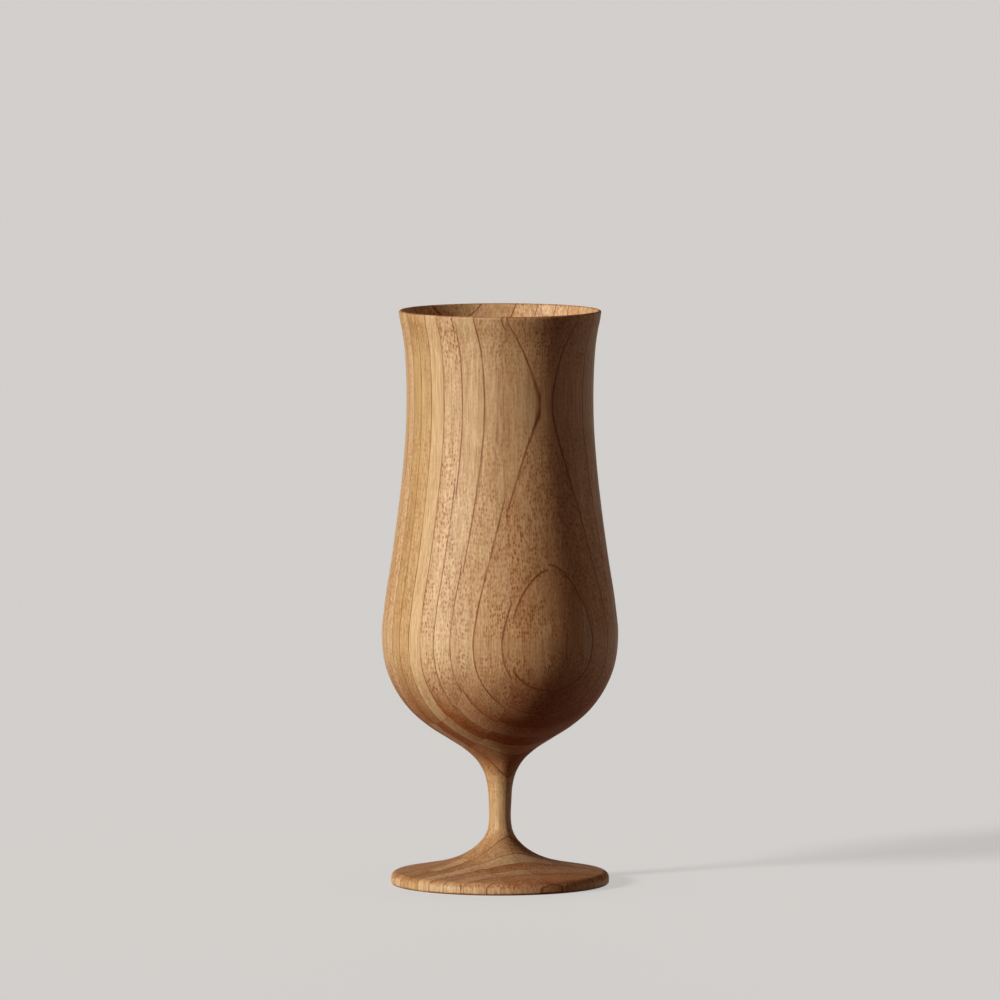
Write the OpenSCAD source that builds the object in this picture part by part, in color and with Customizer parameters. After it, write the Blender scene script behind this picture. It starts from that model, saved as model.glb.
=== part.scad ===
// Stemmed beer cup turned on a lathe from one block of laminated bamboo.
// The block is six boards glued side by side, and each board is a stack of bamboo strips
// glued face to face. Every strip that the lathe left is a piece of its own here.
// X runs across the boards, Y through the stacks of strips, Z up the stem.
// The origin is the middle of the foot's underside.

/* [Height] */
// Height from the table to the lip
height = 185; // [165:1:220]
// Height of the narrowest place above the belly
waist_h = 157; // [140:1:160]
// Height of the widest place of the bowl
belly_h = 80; // [70:1:100]
// Height where the stem starts to open into the bowl
stem_top_h = 27; // [24:0.5:40]
// Height where the foot's sweep becomes the stem
stem_base_h = 19.2; // [16:0.1:22]

/* [Bowl] */
// Diameter over the lip
rim_d = 65; // [61:0.5:80]
// Diameter at the waist
waist_d = 60; // [50:0.5:64]
// Diameter at the belly
belly_d = 76; // [70:0.5:90]
// Thickness of the wall below the lip
wall_t = 2.5; // [1.8:0.1:4]
// Thickness of the lip, which is round on top
lip_t = 1.2; // [0.8:0.1:2]
// Depth over which the wall thins to the lip
lip_taper_h = 24; // [12:1:40]
// Height of the inside's lowest point
floor_h = 49.5; // [47:0.5:54]

/* [Stem and foot] */
// Diameter of the stem
stem_d = 7.4; // [6:0.1:12]
// Diameter of the foot
foot_d = 70.2; // [60:0.2:84]
// Thickness of the foot at its edge
foot_edge_t = 4.1; // [3.4:0.1:6]
// Radius of the rounding on top of the foot's edge
edge_round = 2.2; // [1:0.1:2.4]
// Radius of the rounding under the foot's edge
base_round = 0.9; // [0.4:0.1:1]

/* [Bamboo block] */
// Thickness of one bamboo strip
strip_t = 5; // [4:0.25:8]
// Thickness of one board, which is the width of its strips
board_t = 12.5; // [11:0.25:20]
// Place of the seam between the third and the fourth board
middle_seam = -0.4; // [-4:0.1:4]

/* [Hidden] */
// Boards in the block, and the middle seam's count from the left
BOARDS = 6;
LEFT_BOARDS = 3;
// How far each board's stack of strips lies towards the front, from the left board on
stack_shift_shares = [-0.27, -0.15, 0, -0.05, -0.08, 0.04];
// An outermost strip thinner than this was planed away with its neighbour
thinnest_strip = 0.8;
// Overrun of the cutting boxes past the block
overrun = 1;
// Where the top of the foot's edge meets the sweep, in degrees above level
shoulder_angle = 80;
// Straight steps in one stretch of a curve, and in one rounding
curve_steps = 2;
round_steps = 4;
$fn = 180;

foot_r = foot_d / 2;
stem_r = stem_d / 2;
belly_r = belly_d / 2;
waist_r = waist_d / 2;
rim_r = rim_d / 2;
lip_r = lip_t / 2;

// Tones of neighbouring strips
tones = ["#d6ac72", "#c99a5e", "#dfbd88", "#c69659", "#d2a66b", "#cc9f63", "#dab47b"];

// The curves below run between named places. Each pair is a share of the way
// outwards or inwards, and a share of the way up.
sweep_shares = [
    [0.176, 0.062], [0.379, 0.138], [0.582, 0.240], [0.751, 0.382],
    [0.876, 0.556], [0.954, 0.735], [0.990, 0.890]
];
underside_shares = [
    [0.012, 0.094], [0.043, 0.170], [0.111, 0.245], [0.221, 0.312], [0.380, 0.380],
    [0.565, 0.457], [0.731, 0.550], [0.859, 0.661], [0.961, 0.811]
];
flank_shares = [[0.105, 0.130], [0.392, 0.325], [0.651, 0.519], [0.871, 0.727], [0.985, 0.905]];
flare_shares = [[0.045, 0.240], [0.150, 0.450], [0.345, 0.650], [0.600, 0.800], [0.850, 0.910]];
// The inside follows the outside down to this share of the underside's height
inside_from_share = 0.43;

function between(p, q, shares) = [for (s = shares) [p.x + (q.x - p.x) * s.x, p.y + (q.y - p.y) * s.y]];

function arc(centre, r, from, to) =
    [for (i = [0:round_steps]) let (a = from + (to - from) * i / round_steps) centre + r * [cos(a), sin(a)]];

// Direction of a smooth curve through stations: inside the row from both neighbours,
// weighted by their nearness, and at an end carried on from the first stretch
function step_way(p, i) = (p[i + 1] - p[i]) / norm(p[i + 1] - p[i]);
function inner_way(p, i) =
    let (before = norm(p[i] - p[i - 1]), after = norm(p[i + 1] - p[i]))
    (step_way(p, i) * before + step_way(p, i - 1) * after) / (before + after);
function way(p, i) =
    i == 0 ? 2 * step_way(p, 0) - inner_way(p, 1)
    : i == len(p) - 1 ? 2 * step_way(p, i - 1) - inner_way(p, i - 1)
    : inner_way(p, i);

// Smooth curve through the stations from number first on
function curve(p, first = 0) = concat(
    [for (i = [first:len(p) - 2], k = [0:curve_steps - 1])
        let (
            u = k / curve_steps,
            span = norm(p[i + 1] - p[i]),
            rise = u * u * (3 - 2 * u)
        )
        p[i] * (1 - rise) + p[i + 1] * rise
            + span * u * (1 - u) * ((1 - u) * way(p, i) - u * way(p, i + 1))],
    [p[len(p) - 1]]
);

// Outside of the cup, from the foot's shoulder to the lip
edge_centre = [foot_r - edge_round, foot_edge_t - edge_round];
shoulder = edge_centre + edge_round * [cos(shoulder_angle), sin(shoulder_angle)];
stem_base = [stem_r, stem_base_h];
stem_top = [stem_r, stem_top_h];
belly = [belly_r, belly_h];
waist = [waist_r, waist_h];
lip_outside = [rim_r, height - lip_r];
outer_stations = concat(
    [shoulder], between(shoulder, stem_base, sweep_shares),
    [stem_base, stem_top], between(stem_top, belly, underside_shares),
    [belly], between(belly, waist, flank_shares),
    [waist], between(waist, lip_outside, flare_shares),
    [lip_outside]
);
outside = curve(outer_stations);

// Inside of the bowl: the outside moved in by the wall, down to a round floor
inside_from_h = stem_top_h + (belly_h - stem_top_h) * inside_from_share;
function wall_at(h) = wall_t + (lip_t - wall_t) * max(0, (h - height + lip_taper_h) / lip_taper_h);
function moved_in(p, i) = let (w = way(p, i), wall = wall_at(p[i].y)) p[i] + wall * [-w.y, w.x] / norm(w);
wall_stations = [for (i = [0:len(outer_stations) - 2])
    if (outer_stations[i].y > inside_from_h) moved_in(outer_stations, i)];
floor_side = [-wall_stations[0].x, wall_stations[0].y];
inner_stations = concat([floor_side, [0, floor_h]], wall_stations, [[rim_r - lip_t, height - lip_r]]);
inside = curve(inner_stations, 1);

lip = arc([rim_r - lip_r, height - lip_r], lip_r, 0, 180);

profile = concat(
    [[0, 0]],
    arc([foot_r - base_round, base_round], base_round, -90, 0),
    arc(edge_centre, edge_round, 0, shoulder_angle),
    [for (i = [1:len(outside) - 1]) outside[i]],
    [for (i = [1:round_steps]) lip[i]],
    [for (i = [len(inside) - 2:-1:0]) inside[i]]
);

module turned_cup() {
    rotate_extrude() polygon(profile);
}

// Half of the block that the cutting boxes have to cover
reach = max(belly_r, foot_r, rim_r) + overrun;
function seam(k) = middle_seam + (k - LEFT_BOARDS) * board_t;
function left_side(k) = k == 1 ? -reach : seam(k - 1);
function right_side(k) = k == BOARDS ? reach : seam(k);
function shift(k) = stack_shift_shares[k - 1] * strip_t;
// Distance from the axis of the board's side nearest to it
function board_gap(k) = max(0, left_side(k), -right_side(k));
function half_chord(k) = sqrt(max(0, pow(belly_r, 2) - pow(board_gap(k), 2)));
// Strips from the middle of a board's stack out to its front (-1) or its back (1)
function strips(k, side) =
    max(1, floor((half_chord(k) + side * shift(k) - thinnest_strip) / strip_t) + 1);
function most_strips(k) = max(strips(k, -1), strips(k, 1));

// One strip: board k, place n counted from the middle, on the front (-1) or the back (1)
module strip(k, n, side) {
    near = side * (n - 1) * strip_t - shift(k);
    far = n == strips(k, side) ? side * reach : side * n * strip_t - shift(k);
    color(tones[(2 * k + (n - side) * (k + 2) + side + len(tones)) % len(tones)])
        intersection() {
            turned_cup();
            translate([left_side(k), min(near, far), -overrun])
                cube([right_side(k) - left_side(k), abs(far - near), height + 2 * overrun]);
        }
}

// The two strips of a board that lie alike in front of and behind the middle. Where the
// stack's shift leaves the back without its outermost strip, the front one is alone.
module strip_pair(k, n) {
    for (side = [-1, 1])
        if (n <= strips(k, side)) strip(k, n, side);
}

function board_name(k) = str("board_", k);
function front_name(k) = str(board_name(k), "_middle_strip_front");
function back_name(k) = str(board_name(k), "_middle_strip_back");
function pair_name(k, n) = str(board_name(k), "_strip_pair_", n);

for (k = [1:BOARDS]) {
    strip(k, 1, -1);
    strip(k, 1, 1);
    for (n = [2:1:most_strips(k)])
        strip_pair(k, n);
}
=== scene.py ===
"""Stemmed beer cup turned on a lathe from a block of glued bamboo strips.

One blank is spun from the cup's outline and then cut along the glue planes of the block,
so every strip is a closed piece that shares its surface with its neighbours. The bamboo is
a solid pattern that runs up through the block, as the fibres of the real strips do.
"""
import math

import bmesh
import bpy
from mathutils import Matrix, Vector


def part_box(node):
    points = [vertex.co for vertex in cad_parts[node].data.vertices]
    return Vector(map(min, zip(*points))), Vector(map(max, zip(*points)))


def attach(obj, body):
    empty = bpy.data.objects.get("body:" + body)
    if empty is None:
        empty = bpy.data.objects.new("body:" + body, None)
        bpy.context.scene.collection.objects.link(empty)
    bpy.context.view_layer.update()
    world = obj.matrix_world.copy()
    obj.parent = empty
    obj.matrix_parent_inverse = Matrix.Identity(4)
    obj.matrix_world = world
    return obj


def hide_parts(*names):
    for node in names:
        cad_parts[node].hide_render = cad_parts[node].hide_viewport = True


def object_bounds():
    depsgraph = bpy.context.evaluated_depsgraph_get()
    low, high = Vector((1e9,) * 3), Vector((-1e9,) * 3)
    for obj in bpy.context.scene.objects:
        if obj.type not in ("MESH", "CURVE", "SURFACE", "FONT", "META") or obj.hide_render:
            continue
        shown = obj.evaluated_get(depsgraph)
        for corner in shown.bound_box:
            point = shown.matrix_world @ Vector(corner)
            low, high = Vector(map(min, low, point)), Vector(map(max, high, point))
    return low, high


bl_info = {
    "name": "Turned Bamboo Cup",
    "version": (1, 0, 0),
    "blender": (4, 5, 0),
    "location": "3D View > Sidebar > Bamboo Cup",
    "description": "Builds a stemmed cup from the strips of a laminated bamboo block",
    "category": "Object",
}

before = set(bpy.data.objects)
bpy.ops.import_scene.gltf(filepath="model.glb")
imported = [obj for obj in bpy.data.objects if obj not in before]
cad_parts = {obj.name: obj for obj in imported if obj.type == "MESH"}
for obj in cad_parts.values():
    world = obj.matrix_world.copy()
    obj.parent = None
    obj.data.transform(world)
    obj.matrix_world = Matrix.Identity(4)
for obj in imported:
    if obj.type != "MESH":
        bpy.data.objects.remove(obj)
CAD_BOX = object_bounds()

BODY = "root"
MM = 0.001

# Names of the block's strips, and how many boards it has
BOARDS = 6
FRONT_NAME = "board_{}_middle_strip_front"
BACK_NAME = "board_{}_middle_strip_back"
PAIR_NAME = "board_{}_strip_pair_{}"
FRONT = -1
BACK = 1

# Outline of the cup between its named sizes. Each pair is a share of the way outwards or
# inwards, and a share of the way up.
SWEEP_SHARES = [
    (0.176, 0.062), (0.379, 0.138), (0.582, 0.240), (0.751, 0.382),
    (0.876, 0.556), (0.954, 0.735), (0.990, 0.890),
]
UNDERSIDE_SHARES = [
    (0.012, 0.094), (0.043, 0.170), (0.111, 0.245), (0.221, 0.312), (0.380, 0.380),
    (0.565, 0.457), (0.731, 0.550), (0.859, 0.661), (0.961, 0.811),
]
FLANK_SHARES = [(0.105, 0.130), (0.392, 0.325), (0.651, 0.519), (0.871, 0.727), (0.985, 0.905)]
FLARE_SHARES = [(0.045, 0.240), (0.150, 0.450), (0.345, 0.650), (0.600, 0.800), (0.850, 0.910)]
# The inside follows the outside down to this share of the underside's height
INSIDE_FROM_SHARE = 0.43
# Where the top of the foot's edge meets the sweep, above level
SHOULDER_ANGLE = math.radians(80)
# Steps in one stretch of a curve, in one rounding, and once round the cup
CURVE_STEPS = 10
ROUND_STEPS = 12
TURN_STEPS = 320
# Points nearer to a cutting plane than this, in metres, lie on it
WELD = 1e-6

# Strips that stand out, by board and by place in its stack: 0 and up from the middle to the
# front, -1 and down to the back. Each has a tone, from 0 for golden over 1 for pale to 2 for
# ruddy, and how strongly its bundles show.
MARKED_STRIPS = {
    1: {0: (0.35, 0.6), 1: (0.4, 0.55), 2: (0.78, 0.15), 3: (0.95, 0.85), 4: (1.0, 0.8),
        5: (1.1, 0.9)},
    2: {0: (0.9, 0.3), 1: (1.2, 0.9), 2: (0.95, 0.3), 3: (1.05, 0.85), 4: (1.1, 0.45),
        5: (1.25, 0.65), 6: (1.4, 0.8), 7: (1.5, 0.85)},
    3: {-1: (0.6, 0.5), 0: (0.6, 0.5), 1: (0.7, 0.5), 2: (0.9, 0.2), 3: (1.4, 0.95),
        4: (1.2, 0.5), 5: (1.45, 0.75), 6: (1.6, 0.95), 7: (1.7, 1.0)},
    4: {-1: (0.8, 0.5), 0: (0.8, 0.5), 2: (1.1, 0.3), 3: (1.3, 0.9), 4: (1.5, 0.6),
        5: (1.7, 0.8), 6: (1.8, 0.9), 7: (1.9, 0.9)},
    5: {4: (1.6, 0.6), 5: (1.7, 0.8), 6: (1.8, 0.8)},
    6: {4: (1.6, 0.7), 5: (1.7, 0.7)},
}
# The other strips have tones from this one up over this span. They move on by a step from
# board to board and from place to place, so that neighbours differ.
PLAIN_TONE = 0.5
PLAIN_TONE_SPAN = 0.9
BOARD_TONE_STEP = 0.37
PLACE_TONE_STEP = 0.618
PLAIN_STRENGTH = 0.7

# Sizes of the bamboo's pattern are in millimetres.
# The fibres wander in waves of this width and length as they climb, by this much along X, Y
# and Z
WANDER_WIDTH = 12.5
WANDER_LENGTH = 50
WANDER_REACH = (1.6, 0.7, 8)
# Neighbouring strips take their fibres from places this far apart in the pattern
FIBRE_STEP = 37.7
# A bundle's dark core, and how far it reaches at the pith and at the skin of its strip, as
# shares of the distance between bundles
BUNDLE_CORE = 0.22
BUNDLE_REACH_PITH = 0.60
BUNDLE_REACH_SKIN = 0.72
# How far the bundles stray from even rows, and the strength of the faintest one
BUNDLE_SCATTER = 0.65
FAINTEST_BUNDLE = 0.4
# Patches in which the bundles come and go
PATCH_WIDTH = 6.25
PATCH_LENGTH = 20
# Streaks from broad to fine: width, length and strength
STREAKS = [(5.0, 160, 0.16), (1.6, 50, 0.24), (0.5, 9, 0.42)]
# How strongly red, green and blue follow a streak
STREAK_WARMTH = (1.0, 1.3, 1.7)
# The glue shows more and less in patches, with this many to a millimetre
GLUE_PATCHES = 0.12
# Roughness of the lacquer, and what the end grain, which keeps the least gloss, and the
# bundles add to it
LACQUER_ROUGHNESS = 0.58
END_GRAIN_ROUGHNESS = 0.25
BUNDLE_ROUGHNESS = 0.1
# Height of the fibres' relief
RELIEF_HEIGHT = 0.03

# Lamps, each with its degrees left of the camera, degrees above level, degrees that it spans
# and level. The key is far away, so it lights the cup evenly from foot to lip, and the others
# stand in for the light of a room.
LAMPS = [
    ("key", 56, 18, 10, 1.05),
    ("back", 180, 5, 40, 0.32),
    ("side", -118, 6, 30, 0.1),
    ("top", 0, 90, 30, 0.1),
]
# Half the floor's width, and how far the camera sees, in metres
FLOOR_REACH = 30
CAMERA_SIGHT = 100
# How much of the floor's look is its own plain colour, where the camera or gloss sees it.
# The rest is lit, so it takes the cup's shadow.
FLOOR_GLOW = 0.6

# Sockets of a colour mix: its two colours and its result
MIX_A = 6
MIX_B = 7
MIXED = 2


def srgb(hex_colour):
    """Turns an sRGB colour such as "#d0aa7e" into linear RGBA."""
    shares = [int(hex_colour[i:i + 2], 16) / 255 for i in (1, 3, 5)]
    return [s / 12.92 if s <= 0.04045 else ((s + 0.055) / 1.055) ** 2.4 for s in shares] + [1]


def add_node(tree, kind, settings, inputs):
    """Adds a node. An input that is another node's socket is linked, any other is its value."""
    made = tree.nodes.new(kind)
    for name, value in settings.items():
        setattr(made, name, value)
    for key, value in inputs.items():
        if isinstance(value, bpy.types.NodeSocket):
            tree.links.new(value, made.inputs[key])
        else:
            made.inputs[key].default_value = value
    return made


# What a user would change


class CupSizes(bpy.types.PropertyGroup):
    """Sizes of the turned cup"""

    height: bpy.props.FloatProperty(
        name="Height", description="Height from the table to the lip",
        default=CAD_BOX[1][2], unit="LENGTH")
    belly_width: bpy.props.FloatProperty(
        name="Belly width", description="Diameter at the widest place of the bowl",
        default=76 * MM, unit="LENGTH")
    belly_height: bpy.props.FloatProperty(
        name="Belly height", description="Height of the widest place of the bowl",
        default=80 * MM, unit="LENGTH")
    waist_width: bpy.props.FloatProperty(
        name="Waist width", description="Diameter at the narrowest place above the belly",
        default=60 * MM, unit="LENGTH")
    waist_height: bpy.props.FloatProperty(
        name="Waist height", description="Height of the narrowest place above the belly",
        default=157 * MM, unit="LENGTH")
    lip_width: bpy.props.FloatProperty(
        name="Lip width", description="Diameter over the lip",
        default=65 * MM, unit="LENGTH")
    lip_thickness: bpy.props.FloatProperty(
        name="Lip thickness", description="Thickness of the lip, which is round on top",
        default=1.2 * MM, unit="LENGTH")
    lip_taper: bpy.props.FloatProperty(
        name="Lip taper", description="Depth over which the wall thins to the lip",
        default=24 * MM, unit="LENGTH")
    wall: bpy.props.FloatProperty(
        name="Wall", description="Thickness of the wall below the lip",
        default=2.5 * MM, unit="LENGTH")
    floor_height: bpy.props.FloatProperty(
        name="Floor height", description="Height of the lowest point inside the bowl",
        default=49.5 * MM, unit="LENGTH")
    stem_width: bpy.props.FloatProperty(
        name="Stem width", description="Diameter of the stem",
        default=7.4 * MM, unit="LENGTH")
    stem_base: bpy.props.FloatProperty(
        name="Stem base", description="Height where the foot's sweep becomes the stem",
        default=19.2 * MM, unit="LENGTH")
    stem_top: bpy.props.FloatProperty(
        name="Stem top", description="Height where the stem starts to open into the bowl",
        default=27 * MM, unit="LENGTH")
    foot_width: bpy.props.FloatProperty(
        name="Foot width", description="Diameter of the foot",
        default=70.2 * MM, unit="LENGTH")
    foot_edge: bpy.props.FloatProperty(
        name="Foot edge", description="Thickness of the foot at its edge",
        default=4.1 * MM, unit="LENGTH")
    edge_round: bpy.props.FloatProperty(
        name="Edge rounding", description="Radius of the rounding on top of the foot's edge",
        default=2.2 * MM, unit="LENGTH")
    base_round: bpy.props.FloatProperty(
        name="Base rounding", description="Radius of the rounding under the foot's edge",
        default=0.9 * MM, unit="LENGTH")


class BambooFinish(bpy.types.PropertyGroup):
    """Colours and grain of the bamboo"""

    pale: bpy.props.FloatVectorProperty(
        name="Pale strip", description="Colour of the palest strips",
        default=srgb("#dcb684"), size=4, subtype="COLOR")
    golden: bpy.props.FloatVectorProperty(
        name="Golden strip", description="Colour of the most yellow strips",
        default=srgb("#ba8f52"), size=4, subtype="COLOR")
    ruddy: bpy.props.FloatVectorProperty(
        name="Ruddy strip", description="Colour of the most steamed strips",
        default=srgb("#cb8f57"), size=4, subtype="COLOR")
    end_grain: bpy.props.FloatVectorProperty(
        name="End grain", description="Tint of the lacquer where it soaks into cut fibres",
        default=srgb("#bd8450"), size=4, subtype="COLOR")
    vessel: bpy.props.FloatVectorProperty(
        name="Vessel", description="Colour of the fibre bundles",
        default=srgb("#9c5418"), size=4, subtype="COLOR")
    glue: bpy.props.FloatVectorProperty(
        name="Glue line", description="Colour of the glue between two strips",
        default=srgb("#803608"), size=4, subtype="COLOR")
    bundle_width: bpy.props.FloatProperty(
        name="Bundle width", description="Distance between bundles, drawn as coarse as they show",
        default=0.70 * MM, unit="LENGTH")
    bundle_length: bpy.props.FloatProperty(
        name="Bundle length",
        description="Length of the dashes that bundles leave when cut across",
        default=1.5 * MM, unit="LENGTH")
    glue_width: bpy.props.FloatProperty(
        name="Glue width", description="Thickness of the glue line, drawn as wide as it shows",
        default=0.28 * MM, unit="LENGTH")


class StudioSettings(bpy.types.PropertyGroup):
    """Camera, lights and floor"""

    camera_distance: bpy.props.FloatProperty(
        name="Camera distance", description="Level distance from the stem to the camera",
        default=4.0759, unit="LENGTH")
    camera_height: bpy.props.FloatProperty(
        name="Camera height", description="Height of the camera above the table",
        default=0.471, unit="LENGTH")
    camera_turn: bpy.props.FloatProperty(
        name="Camera turn", description="How far left of the block's front the camera stands",
        default=math.radians(26.6), subtype="ANGLE")
    camera_pitch: bpy.props.FloatProperty(
        name="Camera pitch", description="How far the camera looks down",
        default=math.radians(4.868), subtype="ANGLE")
    lens: bpy.props.FloatProperty(
        name="Lens", description="Focal length on a sensor 36 mm wide",
        default=458.56, unit="CAMERA")
    floor_bounce: bpy.props.FloatVectorProperty(
        name="Floor bounce", description="Colour that the floor throws back at the cup",
        default=srgb("#54403e"), size=4, subtype="COLOR")
    floor_colour: bpy.props.FloatVectorProperty(
        name="Floor", description="Colour of the floor",
        default=srgb("#e6e4e0"), size=4, subtype="COLOR")
    room_light: bpy.props.FloatVectorProperty(
        name="Room light", description="Colour of the faint light from all round",
        default=srgb("#ffcfe4"), size=4, subtype="COLOR")
    room_level: bpy.props.FloatProperty(
        name="Room level", description="Level of the faint light from all round",
        default=0.055, subtype="FACTOR")


# Outline and blank


def between(start, end, shares):
    """Points between two named places, at shares of the way across and up."""
    return [start + Vector(((end.x - start.x) * s[0], (end.y - start.y) * s[1])) for s in shares]


def arc(centre, radius, start, end):
    """Points along a rounding of the outline."""
    steps = [start + (end - start) * i / ROUND_STEPS for i in range(ROUND_STEPS + 1)]
    return [centre + radius * Vector((math.cos(a), math.sin(a))) for a in steps]


def way(points, i):
    """Direction of the smooth curve through the points at point i."""
    if i == 0:
        return 2 * step_way(points, 0) - inner_way(points, 1)
    if i == len(points) - 1:
        return 2 * step_way(points, i - 1) - inner_way(points, i - 1)
    return inner_way(points, i)


def step_way(points, i):
    """Direction of the straight step from point i to the next one."""
    return (points[i + 1] - points[i]).normalized()


def inner_way(points, i):
    """Direction at a point between two others, led by the nearer one."""
    before = (points[i] - points[i - 1]).length
    after = (points[i + 1] - points[i]).length
    return (step_way(points, i) * before + step_way(points, i - 1) * after) / (before + after)


def curve(points, first=0):
    """Smooth curve through the points, drawn from point number first on."""
    drawn = []
    for i in range(first, len(points) - 1):
        start, end = points[i], points[i + 1]
        span = (end - start).length
        for k in range(CURVE_STEPS):
            u = k / CURVE_STEPS
            rise = u * u * (3 - 2 * u)
            lean = (1 - u) * way(points, i) - u * way(points, i + 1)
            drawn.append(start * (1 - rise) + end * rise + span * u * (1 - u) * lean)
    return drawn + [points[-1]]


def outline(sizes):
    """The cup's half section, from the middle of the underside round to the floor inside."""
    foot = sizes.foot_width / 2
    edge_centre = Vector((foot - sizes.edge_round, sizes.foot_edge - sizes.edge_round))
    base_centre = Vector((foot - sizes.base_round, sizes.base_round))
    edge = arc(edge_centre, sizes.edge_round, 0, SHOULDER_ANGLE)
    stem_base = Vector((sizes.stem_width / 2, sizes.stem_base))
    stem_top = Vector((sizes.stem_width / 2, sizes.stem_top))
    belly = Vector((sizes.belly_width / 2, sizes.belly_height))
    waist = Vector((sizes.waist_width / 2, sizes.waist_height))
    lip_radius = sizes.lip_thickness / 2
    lip = Vector((sizes.lip_width / 2, sizes.height - lip_radius))
    outer = [
        edge[-1], *between(edge[-1], stem_base, SWEEP_SHARES),
        stem_base, stem_top, *between(stem_top, belly, UNDERSIDE_SHARES),
        belly, *between(belly, waist, FLANK_SHARES),
        waist, *between(waist, lip, FLARE_SHARES), lip,
    ]

    inside_from = sizes.stem_top + (sizes.belly_height - sizes.stem_top) * INSIDE_FROM_SHARE
    wall = []
    for i in range(len(outer) - 1):
        if outer[i].y > inside_from:
            along = way(outer, i).normalized()
            taper = max(0, (outer[i].y - sizes.height + sizes.lip_taper) / sizes.lip_taper)
            thickness = sizes.wall + (sizes.lip_thickness - sizes.wall) * taper
            wall.append(outer[i] + thickness * Vector((-along.y, along.x)))
    across = Vector((-wall[0].x, wall[0].y))
    floor = Vector((0, sizes.floor_height))
    inside = curve([across, floor, *wall, lip - Vector((sizes.lip_thickness, 0))], 1)

    base = arc(base_centre, sizes.base_round, -math.pi / 2, 0)
    top = arc(lip - Vector((lip_radius, 0)), lip_radius, 0, math.pi)
    return [Vector((0, 0)), *base, *edge, *curve(outer)[1:], *top[1:], *inside[-2::-1]]


def turned_blank(sizes):
    """The whole cup as one closed mesh, spun from its outline."""
    mesh = bmesh.new()
    verts = [mesh.verts.new((p.x, 0, p.y)) for p in outline(sizes)]
    edges = [mesh.edges.new(pair) for pair in zip(verts, verts[1:])]
    bmesh.ops.spin(
        mesh, geom=verts + edges, cent=(0, 0, 0), axis=(0, 0, 1),
        angle=2 * math.pi, steps=TURN_STEPS, use_merge=True)
    bmesh.ops.remove_doubles(mesh, verts=mesh.verts[:], dist=WELD)
    bmesh.ops.recalc_face_normals(mesh, faces=mesh.faces[:])
    for face in mesh.faces:
        face.smooth = True
    return mesh


# Strips


def cut_off(mesh, place, direction):
    """Cuts away what lies past a plane and closes the cut with a flat, sharp-edged face."""
    geometry = mesh.verts[:] + mesh.edges[:] + mesh.faces[:]
    result = bmesh.ops.bisect_plane(
        mesh, geom=geometry, dist=WELD, plane_co=place, plane_no=direction, clear_outer=True)
    rim = [e for e in result["geom_cut"] if isinstance(e, bmesh.types.BMEdge)]
    for edge in rim:
        edge.smooth = False
    if rim:
        bmesh.ops.triangle_fill(mesh, edges=rim, use_beauty=True, normal=direction)


def strip_count(board, side):
    """Strips from a board's middle out to its front or its back, the middle one included."""
    left, right, middle, thickness = board_planes(board)
    count = 1
    while PAIR_NAME.format(board, count + 1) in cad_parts:
        low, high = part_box(PAIR_NAME.format(board, count + 1))
        outermost = low.y if side == FRONT else high.y
        if side * (outermost - middle) < count * thickness:
            break
        count += 1
    return count


def board_planes(board):
    """A board's left and right sides, the middle plane of its stack and a strip's thickness."""
    low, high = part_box(FRONT_NAME.format(board))
    return low.x, high.x, high.y, high.y - low.y


def cut_strips(mesh, middle, thickness, count, side):
    """Cuts the strips on one side of a board's middle, from the middle outwards."""
    outwards = Vector((0, side, 0))
    rest = mesh.copy()
    cut_off(rest, (0, middle, 0), -outwards)
    strips = []
    for number in range(1, count):
        far = (0, middle + side * number * thickness, 0)
        strip = rest.copy()
        cut_off(strip, far, outwards)
        cut_off(rest, far, -outwards)
        strips.append(strip)
    return strips + [rest]


def add_piece(name, strips, material):
    """Makes one object of the strips that share a CAD node, and lets it stand for the node."""
    joined = bmesh.new()
    for strip in strips:
        part = bpy.data.meshes.new(name)
        strip.to_mesh(part)
        joined.from_mesh(part)
        bpy.data.meshes.remove(part)
    bmesh.ops.recalc_face_normals(joined, faces=joined.faces[:])
    mesh = bpy.data.meshes.new("turned_" + name)
    joined.to_mesh(mesh)
    joined.free()
    mesh.materials.append(material)
    piece = bpy.data.objects.new("turned_" + name, mesh)
    bpy.context.scene.collection.objects.link(piece)
    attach(piece, BODY)
    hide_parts(name)


# Bamboo


def strip_look(board, place):
    """Tone of one strip, and how strongly its fibre bundles show."""
    step = (BOARD_TONE_STEP * board + PLACE_TONE_STEP * place) % 1
    plain = (PLAIN_TONE + PLAIN_TONE_SPAN * step, PLAIN_STRENGTH)
    return MARKED_STRIPS[board].get(place, plain)


def strip_colour(tone, finish):
    """Colour of a strip of that tone."""
    start, end = (finish.golden, finish.pale) if tone < 1 else (finish.pale, finish.ruddy)
    share = tone if tone < 1 else tone - 1
    return [s + (e - s) * share for s, e in zip(start[:3], end[:3])]


def strip_tones(tree, board, ply, finish):
    """Tone of each strip of a board, with the strength of its bundles as the fourth value."""
    count = max(strip_count(board, FRONT), strip_count(board, BACK))
    scaled = add_node(tree, "ShaderNodeMapRange", {}, {
        "Value": ply, "From Min": -count, "From Max": count, "To Min": 0, "To Max": 1})
    tones = add_node(tree, "ShaderNodeValToRGB", {}, {0: scaled.outputs[0]})
    tones.color_ramp.interpolation = "CONSTANT"
    for i in range(2, 2 * count):
        tones.color_ramp.elements.new(i / (2 * count))
    for i in range(2 * count):
        stop = tones.color_ramp.elements[i]
        stop.position = i / (2 * count)
        tone, strength = strip_look(board, i - count)
        stop.color = strip_colour(tone, finish) + [strength]
    return tones.outputs


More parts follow.
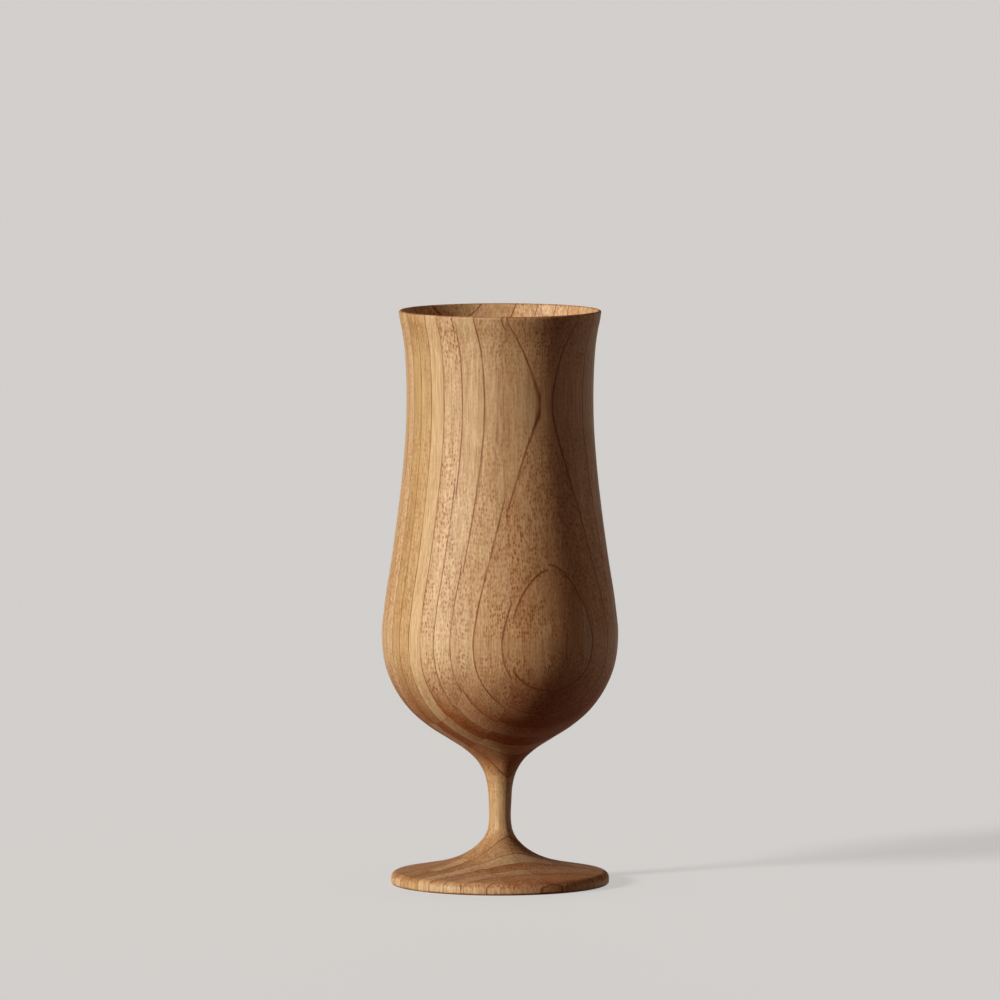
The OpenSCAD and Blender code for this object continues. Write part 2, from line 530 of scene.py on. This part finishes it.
def fibre_place(tree, place, ply):
    """Place among the fibres, which wander as they climb. Each strip has its own fibres."""
    waves = add_node(tree, "ShaderNodeMapping", {}, {
        "Vector": place, "Scale": (1 / WANDER_WIDTH, 1 / WANDER_WIDTH, 1 / WANDER_LENGTH)})
    drift = add_node(tree, "ShaderNodeTexNoise", {}, {
        "Vector": waves.outputs[0], "Scale": 1.0, "Detail": 1.0})
    moved = add_node(tree, "ShaderNodeVectorMath", {"operation": "MULTIPLY_ADD"}, {
        0: drift.outputs["Color"], 1: WANDER_REACH, 2: place})
    split = add_node(tree, "ShaderNodeSeparateXYZ", {}, {0: moved.outputs[0]})
    number = add_node(tree, "ShaderNodeMath", {"operation": "FLOOR"}, {0: ply})
    across = add_node(tree, "ShaderNodeMath", {"operation": "MULTIPLY_ADD"}, {
        0: number.outputs[0], 1: FIBRE_STEP, 2: split.outputs["X"]})
    own = add_node(tree, "ShaderNodeCombineXYZ", {}, {
        "X": across.outputs[0], "Y": split.outputs["Y"], "Z": split.outputs["Z"]})
    return own.outputs[0]


def bundle_dashes(tree, own, skin, steepness, strength, finish):
    """Fibre bundles, cut across as short dark dashes. Real ones are finer than the render can
    show, so they are drawn as coarse as they need to be. They show more towards the skin."""
    cells = add_node(tree, "ShaderNodeMapping", {}, {
        "Vector": own,
        "Scale": (MM / finish.bundle_width, MM / finish.bundle_width, MM / finish.bundle_length)})
    bundles = add_node(tree, "ShaderNodeTexVoronoi", {}, {
        "Vector": cells.outputs[0], "Scale": 1.0, "Randomness": BUNDLE_SCATTER})
    reach = add_node(tree, "ShaderNodeMapRange", {}, {
        "Value": skin, "From Min": 0, "From Max": 1,
        "To Min": BUNDLE_REACH_PITH, "To Max": BUNDLE_REACH_SKIN})
    bundle = add_node(tree, "ShaderNodeMapRange", {"interpolation_type": "SMOOTHSTEP"}, {
        "Value": bundles.outputs["Distance"], "From Min": BUNDLE_CORE,
        "From Max": reach.outputs[0], "To Min": 1, "To Max": 0})
    chance = add_node(tree, "ShaderNodeSeparateColor", {}, {0: bundles.outputs["Color"]})
    uneven = add_node(tree, "ShaderNodeMapRange", {}, {
        "Value": chance.outputs[0], "From Min": 0, "From Max": 1,
        "To Min": FAINTEST_BUNDLE, "To Max": 1.0})
    # They come and go in patches, and where the surface runs along them they turn to streaks
    patches = add_node(tree, "ShaderNodeMapping", {}, {
        "Vector": own, "Scale": (1 / PATCH_WIDTH, 1 / PATCH_WIDTH, 1 / PATCH_LENGTH)})
    patch = add_node(tree, "ShaderNodeTexNoise", {}, {
        "Vector": patches.outputs[0], "Scale": 1.0, "Detail": 1.0})
    present = add_node(tree, "ShaderNodeMapRange", {"interpolation_type": "SMOOTHSTEP"}, {
        "Value": patch.outputs[0], "From Min": 0.34, "From Max": 0.50,
        "To Min": 0.45, "To Max": 1.0})
    crossed = add_node(tree, "ShaderNodeMapRange", {"interpolation_type": "SMOOTHSTEP"}, {
        "Value": steepness, "From Min": 0.0, "From Max": 0.1, "To Min": 0.4, "To Max": 1.0})
    dark = strength
    for share in (bundle, uneven, present, crossed):
        dark = add_node(tree, "ShaderNodeMath", {"operation": "MULTIPLY"}, {
            0: dark, 1: share.outputs[0]}).outputs[0]
    return dark


def streaks(tree, own):
    """Brightness of the streaks, and the noise of the finest. A darker one is also warmer."""
    brightness = (1, 1, 1)
    for width, length, strength in STREAKS:
        stretched = add_node(tree, "ShaderNodeMapping", {}, {
            "Vector": own, "Scale": (1 / width, 1 / width, 1 / length)})
        noise = add_node(tree, "ShaderNodeTexNoise", {}, {
            "Vector": stretched.outputs[0], "Scale": 1.0, "Detail": 2.0})
        shares = [strength * share for share in STREAK_WARMTH]
        swing = add_node(tree, "ShaderNodeVectorMath", {"operation": "MULTIPLY_ADD"}, {
            0: noise.outputs[0], 1: [2 * share for share in shares],
            2: [-share for share in shares]})
        brightness = add_node(tree, "ShaderNodeVectorMath", {"operation": "ADD"}, {
            0: brightness, 1: swing.outputs[0]}).outputs[0]
    return brightness, noise.outputs[0]


def lacquer_tint_and_painted_shade(tree, end_share, upwards, skin, strength, finish):
    """Tint of the lacquer. The end grain drinks more and turns darker and warmer, the most in
    strips with many bundles. Painted shade makes it darker still where the surface faces down,
    and lighter where it faces up."""
    # Painted shade: the end grain's tint is stronger on faces that look down and weaker on faces
    # that look up
    painted_underside_shade = add_node(tree, "ShaderNodeMapRange", {}, {
        "Value": upwards, "From Min": -0.2, "From Max": 0.2, "To Min": 1.25, "To Max": 0.7})
    soak_and_shade = add_node(tree, "ShaderNodeMath", {"operation": "MULTIPLY"}, {
        0: end_share, 1: painted_underside_shade.outputs[0]})
    fibrous = add_node(tree, "ShaderNodeMapRange", {}, {
        "Value": skin, "From Min": 0, "From Max": 1, "To Min": 0.75, "To Max": 1.1})
    # A strip without bundles still drinks a little
    thirst = add_node(tree, "ShaderNodeMath", {"operation": "MULTIPLY_ADD"}, {
        0: strength, 1: 0.8, 2: 0.2})
    packed = add_node(tree, "ShaderNodeMath", {"operation": "MULTIPLY"}, {
        0: fibrous.outputs[0], 1: thirst.outputs[0]})
    tint_and_shade_share = add_node(tree, "ShaderNodeMath", {"operation": "MULTIPLY"}, {
        0: soak_and_shade.outputs[0], 1: packed.outputs[0]})
    lacquer = add_node(tree, "ShaderNodeMix", {"data_type": "RGBA"}, {
        0: tint_and_shade_share.outputs[0], MIX_A: (1, 1, 1, 1), MIX_B: list(finish.end_grain)})
    return lacquer.outputs[MIXED]


def glue_line(tree, place, ply, facing, thickness, finish):
    """Strength of the glue between the strips. Where the surface nearly runs along the glue,
    the thin film is cut slantwise and would show too broad, so it narrows there."""
    off_plane = add_node(tree, "ShaderNodeMath", {"operation": "PINGPONG"}, {0: ply, 1: 0.5})
    off_glue = add_node(tree, "ShaderNodeMath", {"operation": "MULTIPLY"}, {
        0: off_plane.outputs[0], 1: thickness / finish.glue_width})
    along = add_node(tree, "ShaderNodeMath", {"operation": "MULTIPLY"}, {
        0: facing.outputs["Y"], 1: facing.outputs["Y"]})
    slant = add_node(tree, "ShaderNodeMapRange", {}, {
        "Value": along.outputs[0], "From Min": 0.75, "From Max": 1,
        "To Min": 1.0, "To Max": 0.3})
    glue = add_node(tree, "ShaderNodeMapRange", {"interpolation_type": "SMOOTHSTEP"}, {
        "Value": off_glue.outputs[0], "From Min": 0, "From Max": slant.outputs[0],
        "To Min": 1, "To Max": 0})
    patchy = add_node(tree, "ShaderNodeTexNoise", {}, {
        "Vector": place, "Scale": GLUE_PATCHES, "Detail": 2.0})
    strength = add_node(tree, "ShaderNodeMapRange", {}, {
        "Value": patchy.outputs[0], "From Min": 0.3, "From Max": 0.65,
        "To Min": 0.55, "To Max": 1.0})
    return add_node(tree, "ShaderNodeMath", {"operation": "MULTIPLY"}, {
        0: glue.outputs[0], 1: strength.outputs[0]}).outputs[0]


def laminated_bamboo(board, finish):
    """Laminated moso bamboo, steamed to a caramel tone, turned, sanded and lacquered satin.

    The eye sees straight fibres: long streaks where the surface runs along them, short dark
    dashes where it cuts across them, and a warmer tone on the end grain, made darker by painted
    shade where it faces down, with a thin brown glue line between the strips.
    """
    left, right, middle, thickness = board_planes(board)
    material = bpy.data.materials.new(f"laminated_bamboo_{board}")
    material.use_nodes = True
    tree = material.node_tree
    tree.nodes.clear()

    # Place in the block in millimetres, and the count of strips from the middle to the front
    coordinates = add_node(tree, "ShaderNodeTexCoord", {}, {})
    place = add_node(tree, "ShaderNodeVectorMath", {"operation": "SCALE"}, {
        0: coordinates.outputs["Object"], "Scale": 1 / MM}).outputs[0]
    axes = add_node(tree, "ShaderNodeSeparateXYZ", {}, {0: place})
    facing = add_node(tree, "ShaderNodeSeparateXYZ", {}, {0: coordinates.outputs["Normal"]})
    ply = add_node(tree, "ShaderNodeMath", {"operation": "MULTIPLY_ADD"}, {
        0: axes.outputs["Y"], 1: -MM / thickness, 2: middle / thickness}).outputs[0]
    # Strips are glued skin to skin and pith to pith
    skin = add_node(tree, "ShaderNodeMath", {"operation": "PINGPONG"}, {
        0: ply, 1: 1.0}).outputs[0]
    steepness = add_node(tree, "ShaderNodeMath", {"operation": "ABSOLUTE"}, {
        0: facing.outputs["Z"]}).outputs[0]
    end_share = add_node(tree, "ShaderNodeMapRange", {}, {
        "Value": steepness, "From Min": 0.12, "From Max": 0.7,
        "To Min": 0, "To Max": 1}).outputs[0]

    # Streaked wood with its bundles, and the lacquer over both, whose tint carries painted shade
    # on faces that look down
    tones = strip_tones(tree, board, ply, finish)
    own = fibre_place(tree, place, ply)
    dark = bundle_dashes(tree, own, skin, steepness, tones["Alpha"], finish)
    brightness, fine = streaks(tree, own)
    lacquer = lacquer_tint_and_painted_shade(
        tree, end_share, facing.outputs["Z"], skin, tones["Alpha"], finish)
    wood = add_node(tree, "ShaderNodeVectorMath", {"operation": "MULTIPLY"}, {
        0: tones["Color"], 1: brightness})
    pored = add_node(tree, "ShaderNodeMix", {"data_type": "RGBA"}, {
        0: dark, MIX_A: wood.outputs[0], MIX_B: list(finish.vessel)})
    # The lacquer tint, painted shade included, darkens the wood
    soaked_and_shaded = add_node(tree, "ShaderNodeVectorMath", {"operation": "MULTIPLY"}, {
        0: pored.outputs[MIXED], 1: lacquer})

    glue = glue_line(tree, place, ply, facing, thickness, finish)
    finished = add_node(tree, "ShaderNodeMix", {"data_type": "RGBA"}, {
        0: glue, MIX_A: soaked_and_shaded.outputs[0], MIX_B: list(finish.glue)})
    # The seams to the neighbouring boards are tight and show on the end grain
    seams = [left] * (board > 1) + [right] * (board < BOARDS)
    seam_strength = add_node(tree, "ShaderNodeMapRange", {}, {
        "Value": steepness, "From Min": 0.15, "From Max": 0.8, "To Min": 0.1, "To Max": 0.6})
    for seam in seams:
        gap = add_node(tree, "ShaderNodeMath", {"operation": "SUBTRACT"}, {
            0: axes.outputs["X"], 1: seam / MM})
        off_seam = add_node(tree, "ShaderNodeMath", {"operation": "ABSOLUTE"}, {
            0: gap.outputs[0]})
        film = add_node(tree, "ShaderNodeMapRange", {"interpolation_type": "SMOOTHSTEP"}, {
            "Value": off_seam.outputs[0], "From Min": 0, "From Max": finish.glue_width / MM / 2,
            "To Min": seam_strength.outputs[0], "To Max": 0})
        finished = add_node(tree, "ShaderNodeMix", {"data_type": "RGBA"}, {
            0: film.outputs[0], MIX_A: finished.outputs[MIXED], MIX_B: list(finish.glue)})

    relief = add_node(tree, "ShaderNodeMath", {"operation": "SUBTRACT"}, {0: fine, 1: dark})
    bump = add_node(tree, "ShaderNodeBump", {}, {
        "Strength": 0.15, "Distance": RELIEF_HEIGHT * MM, "Height": relief.outputs[0]})
    dull = add_node(tree, "ShaderNodeMath", {"operation": "MULTIPLY_ADD"}, {
        0: end_share, 1: END_GRAIN_ROUGHNESS, 2: LACQUER_ROUGHNESS})
    roughness = add_node(tree, "ShaderNodeMath", {"operation": "MULTIPLY_ADD"}, {
        0: dark, 1: BUNDLE_ROUGHNESS, 2: dull.outputs[0]})
    shader = add_node(tree, "ShaderNodeBsdfPrincipled", {}, {
        "Base Color": finished.outputs[MIXED], "Roughness": roughness.outputs[0],
        "Specular IOR Level": 0.3, "Coat Weight": 0.04, "Coat Roughness": 0.35,
        "Normal": bump.outputs[0]})
    add_node(tree, "ShaderNodeOutputMaterial", {}, {"Surface": shader.outputs[0]})
    return material


# Stage


def matt_floor(colour, bounce):
    """Matt paper. It shows its own pale colour to the camera and in gloss, still takes the
    cup's shadow, and throws a warmer, weaker light back at the cup."""
    material = bpy.data.materials.new("matt_paper")
    material.use_nodes = True
    tree = material.node_tree
    tree.nodes.clear()
    path = add_node(tree, "ShaderNodeLightPath", {}, {})
    seen = add_node(tree, "ShaderNodeMath", {"operation": "MAXIMUM"}, {
        0: path.outputs["Is Camera Ray"], 1: path.outputs["Is Glossy Ray"]})
    share = add_node(tree, "ShaderNodeMath", {"operation": "MULTIPLY"}, {
        0: seen.outputs[0], 1: FLOOR_GLOW})
    side = add_node(tree, "ShaderNodeMix", {"data_type": "RGBA"}, {
        0: seen.outputs[0], MIX_A: list(bounce), MIX_B: list(colour)})
    paper = add_node(tree, "ShaderNodeBsdfDiffuse", {}, {"Color": side.outputs[MIXED]})
    glow = add_node(tree, "ShaderNodeEmission", {}, {"Color": list(colour), "Strength": 1.0})
    mixed = add_node(tree, "ShaderNodeMixShader", {}, {
        0: share.outputs[0], 1: paper.outputs[0], 2: glow.outputs[0]})
    add_node(tree, "ShaderNodeOutputMaterial", {}, {"Surface": mixed.outputs[0]})
    return material


# Operators


class CUP_OT_strips(bpy.types.Operator):
    """Turns the blank and cuts it into the strips of the six boards"""

    bl_idname = "cup.strips"
    bl_label = "Bamboo Strips"

    def execute(self, context):
        scene = context.scene
        blank = turned_blank(scene.cup_sizes)
        for board in range(1, BOARDS + 1):
            left, right, middle, thickness = board_planes(board)
            cut = blank.copy()
            if board > 1:
                cut_off(cut, (left, 0, 0), (-1, 0, 0))
            if board < BOARDS:
                cut_off(cut, (right, 0, 0), (1, 0, 0))
            front = cut_strips(cut, middle, thickness, strip_count(board, FRONT), FRONT)
            back = cut_strips(cut, middle, thickness, strip_count(board, BACK), BACK)
            cut.free()
            bamboo = laminated_bamboo(board, scene.bamboo_finish)
            add_piece(FRONT_NAME.format(board), front[:1], bamboo)
            add_piece(BACK_NAME.format(board), back[:1], bamboo)
            for number in range(1, max(len(front), len(back))):
                both = front[number:number + 1] + back[number:number + 1]
                add_piece(PAIR_NAME.format(board, number + 1), both, bamboo)
            for strip in front + back:
                strip.free()
        blank.free()
        return {"FINISHED"}


class CUP_OT_stage(bpy.types.Operator):
    """Lays the pale floor and sets the soft lights and the camera"""

    bl_idname = "cup.stage"
    bl_label = "Stage"

    def execute(self, context):
        scene = context.scene
        studio = scene.cup_studio
        floor_mesh = bmesh.new()
        bmesh.ops.create_grid(floor_mesh, x_segments=1, y_segments=1, size=FLOOR_REACH)
        mesh = bpy.data.meshes.new("floor")
        floor_mesh.to_mesh(mesh)
        floor_mesh.free()
        floor = bpy.data.objects.new("floor", mesh)
        scene.collection.objects.link(floor)
        mesh.materials.append(matt_floor(studio.floor_colour, studio.floor_bounce))

        towards = Vector((-math.sin(studio.camera_turn), -math.cos(studio.camera_turn), 0))
        leftwards = Vector((-math.cos(studio.camera_turn), math.sin(studio.camera_turn), 0))

        camera = bpy.data.cameras.new("camera")
        camera.lens = studio.lens
        camera.clip_end = CAMERA_SIGHT
        holder = bpy.data.objects.new("camera", camera)
        holder.location = towards * studio.camera_distance + Vector((0, 0, studio.camera_height))
        holder.rotation_euler = (math.pi / 2 - studio.camera_pitch, 0, -studio.camera_turn)
        scene.collection.objects.link(holder)
        scene.camera = holder

        for name, turn, climb, spread, level in LAMPS:
            lamp = bpy.data.lights.new(name, "SUN")
            lamp.angle = math.radians(spread)
            # A sun of pi lights a surface that faces it to the surface's own colour
            lamp.energy = level * math.pi
            turn, climb = math.radians(turn), math.radians(climb)
            level_way = towards * math.cos(turn) + leftwards * math.sin(turn)
            direction = level_way * math.cos(climb) + Vector((0, 0, math.sin(climb)))
            stand = bpy.data.objects.new(name, lamp)
            stand.location = direction
            stand.rotation_euler = direction.to_track_quat("Z", "Y").to_euler()
            # In the satin gloss the weak lamps would edge the dark side with grey
            stand.visible_glossy = name == "key"
            scene.collection.objects.link(stand)

        world = bpy.data.worlds.new("studio")
        world.use_nodes = True
        background = world.node_tree.nodes["Background"]
        background.inputs["Color"].default_value = list(studio.room_light)
        background.inputs["Strength"].default_value = studio.room_level
        scene.world = world
        scene.view_settings.view_transform = "Standard"
        return {"FINISHED"}


class CUP_PT_panel(bpy.types.Panel):
    """Lists the cup's operators"""

    bl_idname = "CUP_PT_panel"
    bl_label = "Bamboo Cup"
    bl_space_type = "VIEW_3D"
    bl_region_type = "UI"
    bl_category = "Bamboo Cup"

    def draw(self, context):
        self.layout.operator(CUP_OT_strips.bl_idname)
        self.layout.operator(CUP_OT_stage.bl_idname)


CLASSES = (CupSizes, BambooFinish, StudioSettings, CUP_OT_strips, CUP_OT_stage, CUP_PT_panel)


def register():
    for cls in CLASSES:
        bpy.utils.register_class(cls)
    bpy.types.Scene.cup_sizes = bpy.props.PointerProperty(type=CupSizes)
    bpy.types.Scene.bamboo_finish = bpy.props.PointerProperty(type=BambooFinish)
    bpy.types.Scene.cup_studio = bpy.props.PointerProperty(type=StudioSettings)


def unregister():
    del bpy.types.Scene.cup_studio
    del bpy.types.Scene.bamboo_finish
    del bpy.types.Scene.cup_sizes
    for cls in reversed(CLASSES):
        bpy.utils.unregister_class(cls)


def main():
    register()
    bpy.ops.cup.strips()
    bpy.ops.cup.stage()


if __name__ == "__main__":
    main()
